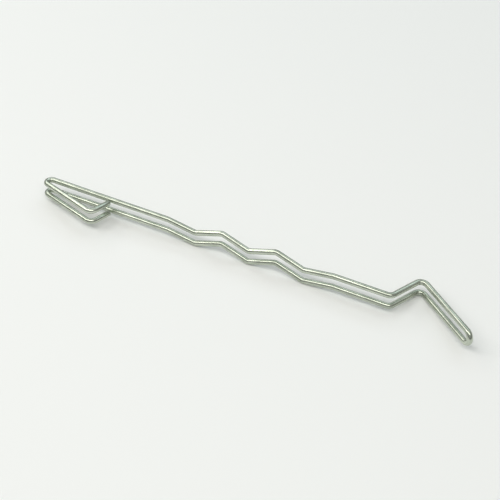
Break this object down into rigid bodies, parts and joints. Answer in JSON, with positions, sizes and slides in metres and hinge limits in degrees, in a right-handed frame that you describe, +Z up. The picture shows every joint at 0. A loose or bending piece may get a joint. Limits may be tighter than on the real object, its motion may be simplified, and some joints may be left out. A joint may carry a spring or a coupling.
{
  "type": "masonry wall tie",
  "caption": "Bent wire wall tie that joins the leaves of a masonry cavity wall: a narrow hairpin with a wavy drip, a humped closed end and folded free ends.",
  "frame": {"origin": "middle of the drip, on the wire's long axis and half-way between the two legs", "axes": "+X along the tie towards the humped closed end, +Y to the side the hump rises to, +Z up, across the two legs, as the tie lies on its side"},
  "size_m": [0.225, 0.0334, 0.0136],
  "materials": {
    "drawn_stainless_wire": "satin, fine drawing lines along the wire"
  },
  "bodies": {
    "root": {"tie": "drawn_stainless_wire"}
  },
  "joints": []
}
